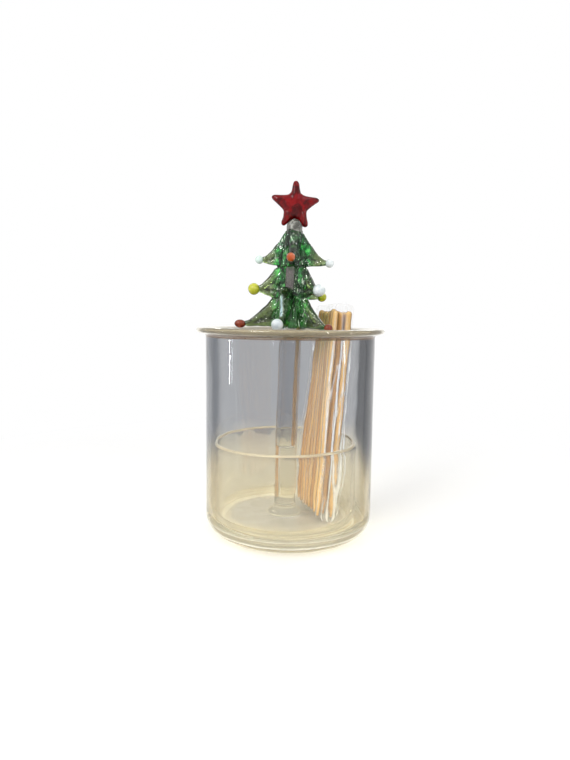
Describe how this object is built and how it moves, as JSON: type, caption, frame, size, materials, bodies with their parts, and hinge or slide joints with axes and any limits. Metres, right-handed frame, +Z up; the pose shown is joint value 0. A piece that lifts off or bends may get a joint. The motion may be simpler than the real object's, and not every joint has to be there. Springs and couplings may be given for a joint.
{
  "type": "toothpick holder",
  "caption": "Clear glass cup with a lift-out inner cup on a tall glass stem, topped by a lampwork fir tree and star, holding a film bag of toothpicks.",
  "frame": {"origin": "centre of the outer cup's flat underside", "axes": "+Z up along the cups' axis, -Y towards the viewer of the picture, +X to the viewer's right"},
  "size_m": [0.0582, 0.0582, 0.1089],
  "materials": {
    "clear_glass": "fire-polished clear glass with a faint straw tint",
    "green_glass": "transparent green lampwork glass",
    "red_glass": "transparent deep red lampwork glass",
    "white_glass": "opaque pearl-white glass",
    "olive_glass": "opaque yellow-green glass",
    "orange_glass": "opaque orange glass",
    "amber_red_glass": "red-brown glass",
    "clear_film": "clear crinkled cellophane",
    "bamboo": "turned bamboo, unvarnished"
  },
  "bodies": {
    "outer_cup": {"outer_cup": "clear_glass"},
    "lifter": {"inner_cup": "clear_glass", "stem_foot": "clear_glass", "stem": "clear_glass", "star": "red_glass", "top_branch_1": "green_glass", "top_branch_2": "green_glass", "top_branch_3": "green_glass", "top_branch_4": "green_glass", "middle_branch_1": "green_glass", "middle_branch_2": "green_glass", "middle_branch_3": "green_glass", "middle_branch_4": "green_glass", "middle_branch_5": "green_glass", "bottom_branch_1": "green_glass", "bottom_branch_2": "green_glass", "bottom_branch_3": "green_glass", "bottom_branch_4": "green_glass", "bottom_branch_5": "green_glass", "top_bead_1": "white_glass", "top_bead_2": "orange_glass", "top_bead_3": "white_glass", "top_bead_4": "white_glass", "middle_bead_1": "olive_glass", "middle_bead_3": "white_glass", "middle_bead_4": "olive_glass", "middle_bead_5": "orange_glass", "bottom_bead_1": "amber_red_glass", "bottom_bead_2": "white_glass", "bottom_bead_3": "amber_red_glass", "bottom_bead_4": "olive_glass", "bottom_bead_5": "white_glass"},
    "toothpick_bag": {"pick_bag": "clear_film", "toothpick_01": "bamboo", "toothpick_02": "bamboo", "toothpick_03": "bamboo", "toothpick_04": "bamboo", "toothpick_05": "bamboo", "toothpick_06": "bamboo", "toothpick_07": "bamboo", "toothpick_08": "bamboo", "toothpick_09": "bamboo", "toothpick_10": "bamboo", "toothpick_11": "bamboo", "toothpick_12": "bamboo", "toothpick_13": "bamboo", "toothpick_14": "bamboo", "toothpick_15": "bamboo", "toothpick_16": "bamboo", "toothpick_17": "bamboo", "toothpick_18": "bamboo", "toothpick_19": "bamboo", "toothpick_20": "bamboo", "toothpick_21": "bamboo", "toothpick_22": "bamboo", "toothpick_23": "bamboo", "toothpick_24": "bamboo"}
  },
  "joints": [
    {"name": "lifter_slide", "type": "slide", "parent": "outer_cup", "child": "lifter", "axis": [0, 0, 1], "range_m": [0, 0.06]},
    {"name": "bag_slide", "type": "slide", "parent": "lifter", "child": "toothpick_bag", "axis": [0.0981, 0.0244, 0.9949], "range_m": [0, 0.06]}
  ]
}
